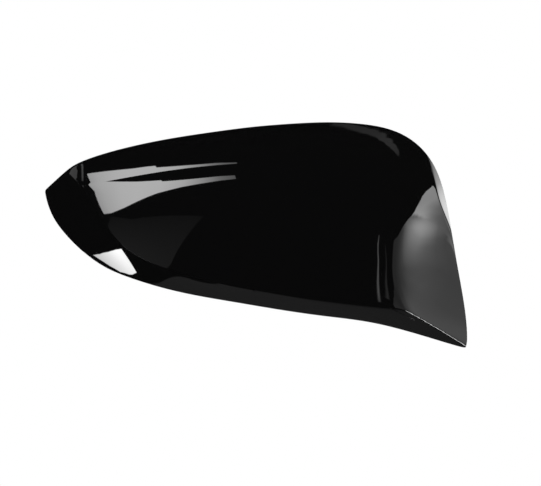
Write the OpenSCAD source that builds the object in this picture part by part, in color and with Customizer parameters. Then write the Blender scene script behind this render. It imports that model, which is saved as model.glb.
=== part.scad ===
// Wing mirror cover: a thin moulded shell that clips over the front of a mirror housing.
// +X points outboard, +Y points back into the housing and +Z points up.
// The origin is on the seat of the main locating peg.

/* [Shell] */
// Overall length of the cover, inboard tip to outboard tip
cover_length = 251; // [220:1:280]
// Overall height of the cover, lowest corner to top edge
cover_height = 124; // [108:1:140]
// Depth of the form, from the front panel to the rear edge of the tall side
cover_depth = 71; // [60:1:82]
// Thickness of the moulded wall
wall = 2.5; // [1.8:0.1:3.2]
// Width of the turned rear lip on the outboard side, seen from the front
lip_width = 1.1; // [0.6:0.1:2]
// Height of the styling ledge pressed into the inboard end of the panel
ledge_height = 1.2; // [0.6:0.1:2]

/* [Locating pegs] */
// Radius of each locating peg
peg_radius = 3; // [2:0.25:4]
// Length of each peg behind its seat
peg_length = 12; // [8:1:16]
// Depth of the peg seats behind the front of the panel
peg_seat = 34; // [28:1:40]
// Radius of the boss under each peg
boss_radius = 5; // [4.5:0.25:6.5]
// Distance between the two pegs
peg_spacing = 85; // [70:1:100]
// Reach of the boss gussets from the peg axis
gusset_reach = 14; // [10:1:18]
// Thickness of the boss gussets
gusset_wall = 1.8; // [1.2:0.1:2.4]

/* [Snap hooks and catches] */
// Width of each snap hook and wall catch
catch_width = 10; // [6:0.5:14]
// Thickness of the blade of a snap hook
hook_blade = 2.2; // [1.6:0.1:3]
// Distance of a snap hook from the edge of the skirt
hook_inset = 6; // [5:0.5:8]
// Reach of a snap hook behind the edge of the skirt
hook_reach = 8; // [7:0.5:12]
// Depth of the barbs
barb_depth = 2.6; // [1.5:0.1:3.5]
// Length of the ramp on each barb
barb_ramp = 6; // [4:0.5:6.5]
// Setback of the wall catches from the rear edge
catch_setback = 5; // [3:0.5:8]

/* [Hidden] */
gloss_black = [0.02, 0.02, 0.022];

// Form of the cover at its reference size, before the length, height and depth above stretch it.
ref_length = 251;
ref_height = 124;
ref_depth = 71;
stretch_x = cover_length / ref_length;
stretch_y = cover_depth / ref_depth;
stretch_z = cover_height / ref_height;

// Upper and outboard wall, by angle about a centre: distance of the edge, depth of the edge,
// steepness, softness of the shoulder and share of the rear lip.
turn_centre = [20, -20];
turn_start = -60;
turn_step = 15;
edge_radius = [139, 121, 103.6, 86.8, 77.5, 76, 79.5, 86.5, 87.4, 82.4, 80.4, 81.8, 88.7, 102, 128.5, 171, 213];
edge_depth = [25, 37, 49, 60, 66.5, 69, 71, 71.5, 70.5, 69, 67.5, 65.5, 64, 59, 44.5, 23.5, 2];
edge_steep = [1.3, 1.4, 1.6, 2, 2.9, 4, 5, 6.3, 7, 7, 7, 7, 6.5, 6, 5, 4, 4];
edge_soft = [3, 3, 3, 3, 5, 10, 18, 22, 20, 16, 14, 12, 12, 10, 8, 8, 8];
edge_lip = [0, 0, 0, 0, 0, 0, 1.5, 0.4, 0, 0, 0, 0, 0, 0, 0, 0, 0];
lip_steep = 12;
lip_soft = 0.4;

// Inboard flank and lower skirt, by stations along the length that crowd towards the inboard tip:
// height and depth of the edge, and steepness
skirt_start = -147.6;
skirt_run = 271.6;
skirt_edge = [50, 12, -1.1, -12.2, -22, -27.5, -32.4, -36.3, -39.2, -43, -46.4, -48.8, -59.7, -71.6];
skirt_depth = [54, 49.5, 45, 39, 33, 28, 23, 20, 17.5, 18, 20, 23, 43, 64];
skirt_steep = [0.2, 0.2, 0.15, 0.15, 0.3, 0.8, 1.15, 1.35, 1.7, 1.75, 1.8, 1.8, 1.6, 1.4];
skirt_soft = 0.8;

// Straight cut across the upper inboard corner
cut_top = [-116.4, 40];
cut_tip = [-143.2, 20.8];
cut_depth = [34, 50];
cut_steep = 1.1;
cut_soft = 2;

// Front panel: a shallow dome
dome_centre = [5, -18];
dome_plan_radius = 300;
dome_upper_radius = 150;
dome_lower_radius = 220;
dome_turn = 25;

// Styling ledge: height of its line along the length, and how fast it blends away below
ledge_start = -120;
ledge_step = 30;
ledge_line = [23.5, 28.9, 34.2, 38.1, 40.2, 41.5];
ledge_share = [0.3, 0.4, 0.95, 1.15, 1, 0];
ledge_blend = 7;

// Rounding of the corners of the outline at the cut and at the outboard tip, and extra rounding of the
// corners of the inner skin
corner_soft = 1.4;
tip_soft = 3;
inner_soft = 3;

// Mesh of the shell: rays from a line along the middle, and rings out to the edge
rays = 120;
spine_mid = [-15, -5];
spine_half = 72;
spine_tilt = -0.2;
ray_spread = [55, 60];
ray_reach = 170;
halvings = 18;
outer_rings = [9, 5, 4, 6];
inner_rings = [6, 4, 3, 4];
ring_crowding = 1.6;
// Largest shares of a ray at which the ledge, the dome's end and the skirt start, and least distance
// between the last two
crease_share_most = 0.9;
dome_share_most = 0.92;
skirt_share_most = 0.95;
share_gap = 0.04;

// Places in the front view, at the reference size: the main peg, and for each hook and wall catch
// a point and the direction in which it meets the edge
peg_place = [45, -4];
hook_rays = [[-92, 6, 218], [-55, 0, 270], [-5, 0, 270], [45, 0, 270]];
catch_rays = [[-80, 10, 90], [-30, 10, 90], [22, 10, 90], [60, 12, 0], [60, -25, 0]];
// Thickness of the flat behind each barb, and bevel on the peg's end
barb_land = 1;
peg_bevel = 0.8;
boss_sides = 36;
peg_sides = 64;
// Reach of a snap hook's gussets as a share of its height, their distance from the blade's ends,
// share of the wall at which ribs start, and largest inset of a catch from the edge
hook_brace = 0.45;
gusset_inset = 0.3;
mid_wall = 0.5;
inset_most = 30;

function at(c, i) = i < 0 ? 2 * c[0] - c[1]
    : i > len(c) - 1 ? 2 * c[len(c) - 1] - c[len(c) - 2] : c[i];

// Uniform cubic spline through the heights in c, u counted in stations
function spline(c, u) = let(
    v = min(max(u, 0), len(c) - 1.000001), i = floor(v), f = v - i, g = 1 - f)
    (g * g * g * at(c, i - 1) + (3 * f * f * f - 6 * f * f + 4) * at(c, i)
    + (3 * g * g * g - 6 * g * g + 4) * at(c, i + 1) + f * f * f * at(c, i + 2)) / 6;

function soft_max(a, b, k) = (a + b + sqrt((a - b) * (a - b) + k * k)) / 2;
function soft_min(a, b, k) = (a + b - sqrt((a - b) * (a - b) + k * k)) / 2;
function slant(m) = sqrt(1 + m * m);

// Station of a point of the outline on the upper wall
function turn_angle(x, z) = let(a = atan2(z - turn_centre[1], x - turn_centre[0]))
    ((a < -120 ? a + 360 : a) - turn_start) / turn_step;
function turn_gap(x, z) = spline(edge_radius, turn_angle(x, z))
    - norm([x - turn_centre[0], z - turn_centre[1]]);

// Depth of each face at a point of the front view, moved inwards by t
function upper_face(x, z, t) = let(
    u = turn_angle(x, z), gap = turn_gap(x, z), m = spline(edge_steep, u),
    y = spline(edge_depth, u), w = lip_width * spline(edge_lip, u))
    soft_max(y - lip_steep * gap + t * slant(lip_steep),
        y - (lip_steep - m) * w - m * gap + t * slant(m), lip_soft);
function skirt_at(x) = (len(skirt_edge) - 1) * pow(max((x - skirt_start) / skirt_run, 0), 2 / 3);
function skirt_gap(x, z) = z - spline(skirt_edge, skirt_at(x));
function skirt_plain(x, z) = let(u = skirt_at(x))
    spline(skirt_depth, u) - spline(skirt_steep, u) * skirt_gap(x, z);
function skirt_face(x, z, t) = t == 0 ? skirt_plain(x, z) : let(
    m = spline(skirt_steep, skirt_at(x)),
    g = (skirt_plain(x + 1, z) - skirt_plain(x - 1, z)) / 2)
    skirt_plain(x, z) + t * sqrt(1 + m * m + g * g);
cut_run = (cut_tip - cut_top) / norm(cut_tip - cut_top);
function cut_gap(x, z) = -(x - cut_top[0]) * cut_run[1] + (z - cut_top[1]) * cut_run[0];
function cut_face(x, z, t) = let(
    s = ((x - cut_top[0]) * cut_run[0] + (z - cut_top[1]) * cut_run[1]) / norm(cut_tip - cut_top))
    cut_depth[0] + (cut_depth[1] - cut_depth[0]) * s - cut_steep * cut_gap(x, z) + t * slant(cut_steep);
function ledge_at(x) = (x - ledge_start) / ledge_step;
function ledge_gap(x, z) = spline(ledge_line, ledge_at(x)) - z;
function ledge(x, z) = let(d = ledge_gap(x, z), h = ledge_height * max(spline(ledge_share, ledge_at(x)), 0))
    d < 0 ? 0 : h * (exp(-d / ledge_blend) - 1);
function dome_bend(z) = let(q = (z - dome_centre[1]) / dome_turn, e = exp(-2 * q))
    1 / dome_lower_radius + (1 / dome_upper_radius - 1 / dome_lower_radius) / (1 + e);
function dome_face(x, z, t) = let(
    dx = x - dome_centre[0], dz = z - dome_centre[1], b = dome_bend(z))
    dx * dx / (2 * dome_plan_radius) + dz * dz * b / 2 + ledge(x, z)
    + t * sqrt(1 + pow(dx / dome_plan_radius, 2) + pow(dz * b, 2));

function panel(x, z, t) = soft_max(dome_face(x, z, t), upper_face(x, z, t),
    spline(edge_soft, turn_angle(x, z)));
function skin(x, z, t) = let(k = t == 0 ? 0 : inner_soft)
    soft_max(soft_max(panel(x, z, t), skirt_face(x, z, t), skirt_soft + k), cut_face(x, z, t), cut_soft + k);

// Rays of the mesh, in the front view
function ray_foot(a) = [spine_mid[0] + spine_half * cos(a), spine_mid[1] + spine_tilt * spine_half * cos(a)];
function ray_way(a) = let(v = [ray_spread[0] * cos(a), ray_spread[1] * sin(a)]) v / norm(v);
function within(p) = soft_min(soft_min(turn_gap(p[0], p[1]), skirt_gap(p[0], p[1]), tip_soft),
    cut_gap(p[0], p[1]), corner_soft);
// Bisection along a ray for the edge, for the ledge line and for the breaks between the faces
function edge_at(q, v, lo, hi, n) = n == 0 ? lo : let(s = (lo + hi) / 2)
    within(q + s * v) > 0 ? edge_at(q, v, s, hi, n - 1) : edge_at(q, v, lo, s, n - 1);
function lower_wins(p) = max(skirt_face(p[0], p[1], 0), cut_face(p[0], p[1], 0)) > panel(p[0], p[1], 0);
function wall_wins(p) = max(skirt_face(p[0], p[1], 0), cut_face(p[0], p[1], 0), upper_face(p[0], p[1], 0))
    > dome_face(p[0], p[1], 0);
function break_ledge(q, v, lo, hi, n) = n == 0 ? lo : let(s = (lo + hi) / 2, p = q + s * v)
    ledge_gap(p[0], p[1]) > 0 ? break_ledge(q, v, s, hi, n - 1) : break_ledge(q, v, lo, s, n - 1);
function break_lower(q, v, lo, hi, n) = n == 0 ? lo : let(s = (lo + hi) / 2)
    lower_wins(q + s * v) ? break_lower(q, v, lo, s, n - 1) : break_lower(q, v, s, hi, n - 1);
function break_wall(q, v, lo, hi, n) = n == 0 ? lo : let(s = (lo + hi) / 2)
    wall_wins(q + s * v) ? break_wall(q, v, lo, s, n - 1) : break_wall(q, v, s, hi, n - 1);

angles = [for (j = [0 : rays - 1]) 360 * j / rays];
feet = [for (a = angles) ray_foot(a)];
edge_s = [for (j = [0 : rays - 1]) edge_at(feet[j], ray_way(angles[j]), 0, ray_reach, halvings)];
edge_p = [for (j = [0 : rays - 1]) feet[j] + edge_s[j] * ray_way(angles[j])];
// Distance out to the end of the dome and to the start of the skirt, as shares of each ray
dome_share = [for (j = [0 : rays - 1])
    min(break_wall(feet[j], ray_way(angles[j]), 0, edge_s[j], halvings) / edge_s[j], dome_share_most)];
skirt_share = [for (j = [0 : rays - 1])
    lower_wins(edge_p[j] - 0.2 * ray_way(angles[j]))
    ? min(break_lower(feet[j], ray_way(angles[j]), 0, edge_s[j], halvings) / edge_s[j], skirt_share_most)
    : (1 + 2 * dome_share[j]) / 3];
inner_share = [for (j = [0 : rays - 1]) min(dome_share[j], skirt_share[j] - share_gap)];
// Share of each ray at the ledge line, or short of the dome's end where the ray doesn't meet the line
crease_share = [for (j = [0 : rays - 1])
    min(break_ledge(feet[j], ray_way(angles[j]), 0, edge_s[j], halvings) / edge_s[j],
        crease_share_most * inner_share[j])];

// Slope of the skin at the edge, for the square cut of the rim
function slope(x, z) = [skin(x + 0.5, z, 0) - skin(x - 0.5, z, 0), skin(x, z + 0.5, 0) - skin(x, z - 0.5, 0)];
form_wall = wall / stretch_y;
rim_in = [for (p = edge_p) let(g = slope(p[0], p[1]), n = sqrt(1 + g * g))
    [p - form_wall * g / n, skin(p[0], p[1], 0) + form_wall / n]];

// Shares along a ray for a set of ring counts: out to the ledge line, the dome's end, the skirt and the edge
function ring_shares(n, c, a, b) = concat(
    [for (i = [0 : n[0] - 1]) c * (1 - pow(1 - i / n[0], ring_crowding))],
    [for (i = [0 : n[1] - 1]) c + (a - c) * i / n[1]],
    [for (i = [0 : n[2] - 1]) a + (b - a) * i / n[2]],
    [for (i = [0 : n[3]]) b + (1 - b) * i / n[3]]);
function ring_total(n) = n[0] + n[1] + n[2] + n[3];

function real(x, y, z) = [x * stretch_x, y * stretch_y, z * stretch_z];

// Points of one skin, ring by ring; the first ring is the line along the middle, counted once
function half_rays() = rays / 2;
function skin_points(n, t) = let(last = ring_total(n)) concat(
    [for (j = [0 : half_rays()]) let(q = feet[j]) real(q[0], skin(q[0], q[1], t), q[1])],
    [for (i = [1 : last]) for (j = [0 : rays - 1]) let(
        s = ring_shares(n, crease_share[j], inner_share[j], skirt_share[j])[i],
        e = t == 0 ? edge_p[j] : rim_in[j][0],
        p = feet[j] + s * (e - feet[j]))
        real(p[0], i == last && t > 0 ? rim_in[j][1] : skin(p[0], p[1], t), p[1])]);
function at_ring(i, j) = i == 0 ? (j % rays <= half_rays() ? j % rays : rays - j % rays)
    : half_rays() + 1 + (i - 1) * rays + j % rays;
function skin_faces(n, from, flip) = [for (i = [0 : ring_total(n) - 1]) for (j = [0 : rays - 1])
    let(a = from + at_ring(i, j), b = from + at_ring(i, j + 1), c = from + at_ring(i + 1, j + 1),
        d = from + at_ring(i + 1, j))
    for (f = a == b ? [[a, c, d]] : [[a, b, c], [a, c, d]]) flip ? [f[2], f[1], f[0]] : f];

module shell() {
    outer = skin_points(outer_rings, 0);
    inner = skin_points(inner_rings, form_wall);
    from = len(outer);
    o = from - rays;
    i = from + len(inner) - rays;
    rim = [for (j = [0 : rays - 1]) let(k = (j + 1) % rays)
        for (f = [[o + j, o + k, i + k], [o + j, i + k, i + j]]) f];
    polyhedron(concat(outer, inner), concat(skin_faces(outer_rings, 0, false),
        skin_faces(inner_rings, from, true), rim));
}

// Depth of the skin at a real point of the front view, share of the wall inwards
function depth_at(p, share) = stretch_y * skin(p[0] / stretch_x, p[1] / stretch_z, share * form_wall);
// Edge of the cover from a point and direction of the front view, and the way inwards there
function edge_of(r) = let(q = [r[0], r[1]], v = [cos(r[2]), sin(r[2])],
    e = q + edge_at(q, v, 0, ray_reach, halvings) * v)
    [e[0] * stretch_x, e[1] * stretch_z];
function inset_gap(p) = within([p[0] / stretch_x, p[1] / stretch_z]);
function inwards(p) = let(h = 0.5, g = [inset_gap(p + [h, 0]) - inset_gap(p - [h, 0]),
    inset_gap(p + [0, h]) - inset_gap(p - [0, h])]) g / norm(g);
// Inset at which a share of the wall stands at depth y
function inset_at(e, way, y, share, lo = 0, hi = inset_most, n = halvings) = n == 0 ? lo
    : let(d = (lo + hi) / 2) depth_at(e + d * way, share) > y ? inset_at(e, way, y, share, d, hi, n - 1)
    : inset_at(e, way, y, share, lo, d, n - 1);

// Extrudes an outline of inset and depth across the edge point e, width w
module across(e, way, w) {
    multmatrix([[way[0], 0, -way[1], e[0]], [0, 1, 0, 0], [way[1], 0, way[0], e[1]], [0, 0, 0, 1]])
        linear_extrude(height = w, center = true) children();
}

// Wedge on the inside of a tall wall: the ramp faces the housing, the flat faces the panel
module wall_catch(r) {
    e = edge_of(r);
    way = inwards(e);
    rear = depth_at(e, 0) - catch_setback;
    flat = rear - barb_ramp;
    front = flat - barb_land;
    tip = inset_at(e, way, flat, 1) + barb_depth;
    across(e, way, catch_width) polygon([
        [inset_at(e, way, rear, mid_wall), rear],
        [inset_at(e, way, rear, 1), rear],
        [tip, flat],
        [tip, front],
        [inset_at(e, way, front, mid_wall), front]]);
}

// Blade that stands on the inside of the skirt, with a barb towards the edge and two gussets
module snap_hook(r) {
    e = edge_of(r);
    way = inwards(e);
    rear = depth_at(e, 0) + hook_reach;
    near = hook_inset;
    far = hook_inset + hook_blade;
    foot = far + (rear - depth_at(e + far * way, mid_wall)) * hook_brace;
    across(e, way, catch_width) polygon([
        [near, depth_at(e + near * way, mid_wall)],
        [near, rear - barb_ramp],
        [near - barb_depth, rear - barb_ramp + barb_land / 2],
        [near - barb_depth, rear - barb_ramp + barb_land],
        [near + hook_blade / 2, rear],
        [far, rear],
        [far, depth_at(e + far * way, mid_wall)]]);
    side = [-way[1], way[0]] * ((catch_width - gusset_wall) / 2 - gusset_inset);
    for (k = [-1, 1]) let(g = e + k * side)
        across(g, way, gusset_wall) polygon([
            [(near + far) / 2, depth_at(g + (near + far) / 2 * way, mid_wall)],
            [(near + far) / 2, rear - barb_ramp],
            [far, rear - barb_ramp],
            [foot, depth_at(g + foot * way, mid_wall) + barb_land],
            [foot, depth_at(g + foot * way, mid_wall)],
            [(far + foot) / 2, depth_at(g + (far + foot) / 2 * way, mid_wall)]]);
}

// Boss whose foot follows the panel from inside its wall, up to the peg seat
module boss(c) {
    ring = [for (j = [0 : boss_sides - 1]) let(a = 360 * j / boss_sides) c + boss_radius * [cos(a), sin(a)]];
    foot = [for (p = ring) [p[0], depth_at(p, mid_wall), p[1]]];
    top = [for (p = ring) [p[0], peg_seat, p[1]]];
    n = boss_sides;
    polyhedron(concat(foot, top, [[c[0], depth_at(c, mid_wall), c[1]]]), concat(
        [for (j = [0 : n - 1]) let(k = (j + 1) % n) for (f = [[k + n, j + n, j], [k, k + n, j]]) f],
        [for (j = [0 : n - 1]) [j, 2 * n, (j + 1) % n]],
        [[for (j = [0 : n - 1]) j + n]]));
}

// Gussets that brace a boss on four sides and stop short of its seat
module boss_gussets(c) {
    brow = peg_seat - boss_radius;
    for (a = [45 : 90 : 315]) let(way = [cos(a), sin(a)])
        across(c, way, gusset_wall) polygon(concat(
            [[0, brow], [boss_radius, brow]],
            [[gusset_reach, depth_at(c + gusset_reach * way, mid_wall) + barb_land]],
            [for (i = [4 : -1 : 0]) let(d = gusset_reach * i / 4) [d, depth_at(c + d * way, mid_wall)]]));
}

// Peg on the axis of its boss, bevelled at the end; it starts inside the boss
module peg(c) {
    translate([c[0], peg_seat - boss_radius / 2, c[1]]) rotate([-90, 0, 0])
        cylinder(r = peg_radius, h = peg_length + boss_radius / 2 - peg_bevel, $fn = peg_sides);
    translate([c[0], peg_seat + peg_length - peg_bevel, c[1]]) rotate([-90, 0, 0])
        cylinder(r1 = peg_radius, r2 = peg_radius - peg_bevel, h = peg_bevel, $fn = peg_sides);
}

main_peg = [peg_place[0] * stretch_x, peg_place[1] * stretch_z];
second_peg = main_peg - [peg_spacing, 0];

module mirror_cover() {
    color(gloss_black) translate([-main_peg[0], -peg_seat, -main_peg[1]]) {
        shell();
        for (r = catch_rays) wall_catch(r);
        for (r = hook_rays) snap_hook(r);
        for (c = [main_peg, second_peg]) {
            boss(c);
            boss_gussets(c);
            peg(c);
        }
    }
}

mirror_cover();
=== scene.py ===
import math
import bmesh
import bpy
import numpy as np
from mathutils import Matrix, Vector


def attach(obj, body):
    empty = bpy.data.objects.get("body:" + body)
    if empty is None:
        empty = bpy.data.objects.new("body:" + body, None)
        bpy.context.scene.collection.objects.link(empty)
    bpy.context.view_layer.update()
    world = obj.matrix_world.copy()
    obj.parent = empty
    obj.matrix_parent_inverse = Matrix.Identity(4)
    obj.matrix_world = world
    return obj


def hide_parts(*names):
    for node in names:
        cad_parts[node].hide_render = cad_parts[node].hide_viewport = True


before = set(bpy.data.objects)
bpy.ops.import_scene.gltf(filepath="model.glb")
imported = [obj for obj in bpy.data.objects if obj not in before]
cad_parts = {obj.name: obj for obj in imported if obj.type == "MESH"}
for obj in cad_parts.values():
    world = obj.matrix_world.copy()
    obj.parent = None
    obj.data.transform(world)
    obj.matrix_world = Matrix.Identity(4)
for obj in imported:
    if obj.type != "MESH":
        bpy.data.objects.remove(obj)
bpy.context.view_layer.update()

# Lengths are in millimetres and angles in degrees, unless a comment says otherwise. x runs outboard, y to
# the rear and z up. The frame's origin is the middle of the main peg's seat.
MAIN_PEG = np.array([45.0, -4.0])
PEG_SEAT = 34.0
ORIGIN = np.array([MAIN_PEG[0], PEG_SEAT, MAIN_PEG[1]])
WALL = 2.5

# Upper and outboard wall, by angle about a centre: distance of the edge, depth of the edge, steepness,
# softness of the shoulder and share of the turned lip
TURN = (20.0, -20.0)
TURN_START, TURN_STEP, TURN_FOLD = -60.0, 15.0, -120.0
EDGE_RADIUS = [139, 121, 103.6, 86.8, 77.5, 76, 79.5, 86.5, 87.4, 82.4, 80.4, 81.8, 88.7, 102, 128.5,
               171, 213]
EDGE_DEPTH = [25, 37, 49, 60, 66.5, 69, 71, 71.5, 70.5, 69, 67.5, 65.5, 64, 59, 44.5, 23.5, 2]
EDGE_STEEP = [1.3, 1.4, 1.6, 2, 2.9, 4, 5, 6.3, 7, 7, 7, 7, 6.5, 6, 5, 4, 4]
EDGE_SOFT = [3, 3, 3, 3, 5, 10, 18, 22, 20, 16, 14, 12, 12, 10, 8, 8, 8]
EDGE_LIP = [0, 0, 0, 0, 0, 0, 1.75, 0.3, 0, 0, 0, 0, 0, 0, 0, 0, 0]
LIP_STEEP = 12.0
LIP_WIDTH = 0.92
LIP_ONSET = 0.3
LIP_SOFT = 1.0

# Lower skirt, by place along its length, with stations closer together inboard: height and depth of
# the lower edge and steepness. The crease above it is crisp inboard and softer outboard.
SKIRT_START = -147.6
SKIRT_RUN = 271.6
SKIRT_POWER = 2 / 3
SKIRT_EDGE = [50, 12, -1.1, -12.2, -22, -27.5, -32.4, -36.3, -39.2, -43, -46.4, -48.8, -59.7, -71.6]
SKIRT_DEPTH = [54, 49.5, 45, 39, 33, 28, 23, 20, 17.5, 18, 20, 23, 43, 64]
SKIRT_STEEP = [0.2, 0.2, 0.15, 0.15, 0.3, 0.8, 1.15, 1.35, 1.7, 1.75, 1.8, 1.8, 1.6, 1.4]
SKIRT_SOFT = (0.03, 0.8)
SKIRT_SOFT_AT, SKIRT_SOFT_RUN = 20.0, 10.0

# Cut inboard corner, between two points of the outline, with the depth at each
CUT_TOP = np.array([-116.4, 40.0])
CUT_TIP = np.array([-143.2, 20.8])
CUT_DEPTH = (34.0, 50.0)
CUT_STEEP = 1.1
CUT_SOFT = 2.0

# Front dome: centre, radius in plan, radii above and below and the height over which they change
DOME = (5.0, -18.0)
DOME_PLAN, DOME_UPPER, DOME_LOWER, DOME_TURN = 300.0, 150.0, 220.0, 25.0

# Styling ledge: height of its line and share of its step along the length, the step, and the distance
# over which it rises below the line
LEDGE_START, LEDGE_STEP = -120.0, 30.0
LEDGE_LINE = [23.5, 28.9, 34.2, 38.1, 40.2, 41.5]
LEDGE_SHARE = [0.2, 0.33, 0.9, 1.05, 1.0, 0]
LEDGE_HEIGHT = 1.2
LEDGE_BLEND = 7.0

# Rounding of the outline's corners at the cut and at the outboard tip, and extra rounding of the
# inner skin's corners
CORNER_SOFT = 1.4
TIP_SOFT = 3.0
INNER_SOFT = 3.0


def spline(c, u):
    """Uniform cubic B-spline over the heights in c, with u counted in stations."""
    n = len(c)
    c = np.asarray(c, float)
    c = np.concatenate([[2 * c[0] - c[1]], c, [2 * c[-1] - c[-2]], [3 * c[-1] - 2 * c[-2]]])
    u = np.clip(u, 0, n - 1.000001)
    i = np.floor(u).astype(int)
    f = u - i
    g = 1 - f
    return (g**3 * c[i] + (3 * f**3 - 6 * f * f + 4) * c[i + 1]
            + (3 * g**3 - 6 * g * g + 4) * c[i + 2] + f**3 * c[i + 3]) / 6


def soft_max(a, b, k):
    """Larger of two values, rounded over a range of about k where they meet."""
    return (a + b + np.sqrt((a - b)**2 + k * k)) / 2


def soft_min(a, b, k):
    return (a + b - np.sqrt((a - b)**2 + k * k)) / 2


def slant(m):
    """Depth that a unit of thickness takes up on a face of steepness m."""
    return np.sqrt(1 + m * m)


def turn_angle(x, z):
    """Station of a place about the centre of the wall's turn."""
    a = np.degrees(np.arctan2(z - TURN[1], x - TURN[0]))
    return (np.where(a < TURN_FOLD, a + 360, a) - TURN_START) / TURN_STEP


def turn_gap(x, z):
    return spline(EDGE_RADIUS, turn_angle(x, z)) - np.hypot(x - TURN[0], z - TURN[1])


def lip_at(u):
    """Width of the turned lip at a station."""
    p = np.maximum(spline(EDGE_LIP, u), 0)
    return LIP_WIDTH * p * p / (p + LIP_ONSET)


def upper_face(x, z, t=0.0):
    """Depth of the upper and outboard wall, or of its face t inside it."""
    u, gap = turn_angle(x, z), turn_gap(x, z)
    m, y, w = spline(EDGE_STEEP, u), spline(EDGE_DEPTH, u), lip_at(u)
    return soft_max(y - LIP_STEEP * gap + t * slant(LIP_STEEP),
                    y - (LIP_STEEP - m) * w - m * gap + t * slant(m), LIP_SOFT)


def skirt_at(x):
    return (len(SKIRT_EDGE) - 1) * np.maximum((x - SKIRT_START) / SKIRT_RUN, 0)**SKIRT_POWER


def skirt_gap(x, z):
    return z - spline(SKIRT_EDGE, skirt_at(x))


def skirt_plain(x, z):
    u = skirt_at(x)
    return spline(SKIRT_DEPTH, u) - spline(SKIRT_STEEP, u) * skirt_gap(x, z)


def skirt_soft(x):
    """Rounding of the crease above the skirt."""
    divisor = 1 + np.exp((SKIRT_SOFT_AT - x) / SKIRT_SOFT_RUN)
    return SKIRT_SOFT[0] + (SKIRT_SOFT[1] - SKIRT_SOFT[0]) / divisor


def skirt_face(x, z, t=0.0):
    if t == 0:
        return skirt_plain(x, z)
    m = spline(SKIRT_STEEP, skirt_at(x))
    g = (skirt_plain(x + 1, z) - skirt_plain(x - 1, z)) / 2
    return skirt_plain(x, z) + t * np.sqrt(1 + m * m + g * g)


CUT_LENGTH = np.linalg.norm(CUT_TIP - CUT_TOP)
CUT_RUN = (CUT_TIP - CUT_TOP) / CUT_LENGTH


def cut_gap(x, z):
    return -(x - CUT_TOP[0]) * CUT_RUN[1] + (z - CUT_TOP[1]) * CUT_RUN[0]


def cut_face(x, z, t=0.0):
    s = ((x - CUT_TOP[0]) * CUT_RUN[0] + (z - CUT_TOP[1]) * CUT_RUN[1]) / CUT_LENGTH
    return (CUT_DEPTH[0] + (CUT_DEPTH[1] - CUT_DEPTH[0]) * s - CUT_STEEP * cut_gap(x, z)
            + t * slant(CUT_STEEP))


def ledge_at(x):
    return (x - LEDGE_START) / LEDGE_STEP


def ledge_gap(x, z):
    return spline(LEDGE_LINE, ledge_at(x)) - z


def ledge(x, z):
    """Step of the styling ledge, which rises out of the dome below its line."""
    d = ledge_gap(x, z)
    h = LEDGE_HEIGHT * np.maximum(spline(LEDGE_SHARE, ledge_at(x)), 0)
    return np.where(d < 0, 0, h * (np.exp(-np.maximum(d, 0) / LEDGE_BLEND) - 1))


def dome_face(x, z, t=0.0):
    dx, dz = x - DOME[0], z - DOME[1]
    b = 1 / DOME_LOWER + (1 / DOME_UPPER - 1 / DOME_LOWER) / (1 + np.exp(-2 * dz / DOME_TURN))
    return (dx * dx / (2 * DOME_PLAN) + dz * dz * b / 2 + ledge(x, z)
            + t * np.sqrt(1 + (dx / DOME_PLAN)**2 + (dz * b)**2))


def panel(x, z, t=0.0):
    return soft_max(dome_face(x, z, t), upper_face(x, z, t), spline(EDGE_SOFT, turn_angle(x, z)))


def skin(x, z, t=0.0):
    """Depth of the outer skin, or of the skin that lies t inside it."""
    k = 0 if t == 0 else INNER_SOFT
    with_skirt = soft_max(panel(x, z, t), skirt_face(x, z, t), skirt_soft(x) + k)
    return soft_max(with_skirt, cut_face(x, z, t), CUT_SOFT + k)


def within(x, z):
    """Distance inside the cover's outline, about right near the edge and negative past it."""
    return soft_min(soft_min(turn_gap(x, z), skirt_gap(x, z), TIP_SOFT), cut_gap(x, z), CORNER_SOFT)


def skin_normal(x, z, t=0.0, h=0.05):
    """Outward normal of a skin, which faces the front."""
    fx = (skin(x + h, z, t) - skin(x - h, z, t)) / (2 * h)
    fz = (skin(x, z + h, t) - skin(x, z - h, t)) / (2 * h)
    n = np.stack([fx, -np.ones_like(fx), fz], -1)
    return n / np.linalg.norm(n, axis=-1, keepdims=True)


def metres(p):
    """Place in the frame, in metres, of a place in the form."""
    return (np.asarray(p, float) - ORIGIN) / 1000


# Rays of the shell's mesh, from a line along the middle out to the edge. They are closer together
# towards one angle in each half, for the lower outboard corner, where they run along the crease.
RAYS = 480
SPINE_MID, SPINE_HALF, SPINE_TILT = (-15.0, -5.0), 72.0, -0.2
RAY_SPREAD = (55, 60)
RAY_REACH = 170.0
DENSE_AT, DENSE_WIDTH, DENSE_GAIN = 38.0, 10.0, 2.5
FAN_STEPS = 1800
HALVINGS = 24

# Rings of the mesh. Their counts run from the middle to the ledge line, on to the end of the dome, on to
# the crease, and from the crease to the lip. Then come the steps in the strips over the crease and over the
# lip line, from there to the edge, and in each of the rim's two rounded corners.
OUTER_RINGS, INNER_RINGS = (30, 14, 22, 22), (18, 8, 12, 12)
CREASE_STEPS, LIP_STEPS, EDGE_STEPS, RIM_STEPS = 12, 3, 4, 4
LEDGE_CROWDING, DOME_CROWDING = 1.7, 1.3
# Half widths of the strips over the crease, inboard and outboard, the ledge line and the lip line
CREASE_HALF, LEDGE_HALF, LIP_HALF = (0.15, 1.6), 0.12, 0.1
# Least distances from the end of the dome to the crease's strip and from the lip line to the edge
CREASE_CLEAR, LIP_CLEAR = 0.6, 0.15
# Largest shares of a ray at which the dome ends and the crease runs, and largest share of the dome's
# rings at which the ledge line's strip stands
DOME_MOST, CREASE_MOST, LEDGE_MOST = 0.94, 0.97, 0.97
# Distance from the edge at which the faces there are compared, and half a step for a slope near it
NEAR_EDGE, SLOPE_STEP = 0.2, 0.1
RIM_RADIUS = 0.45
UNCROSS_STEPS = 40
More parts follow.
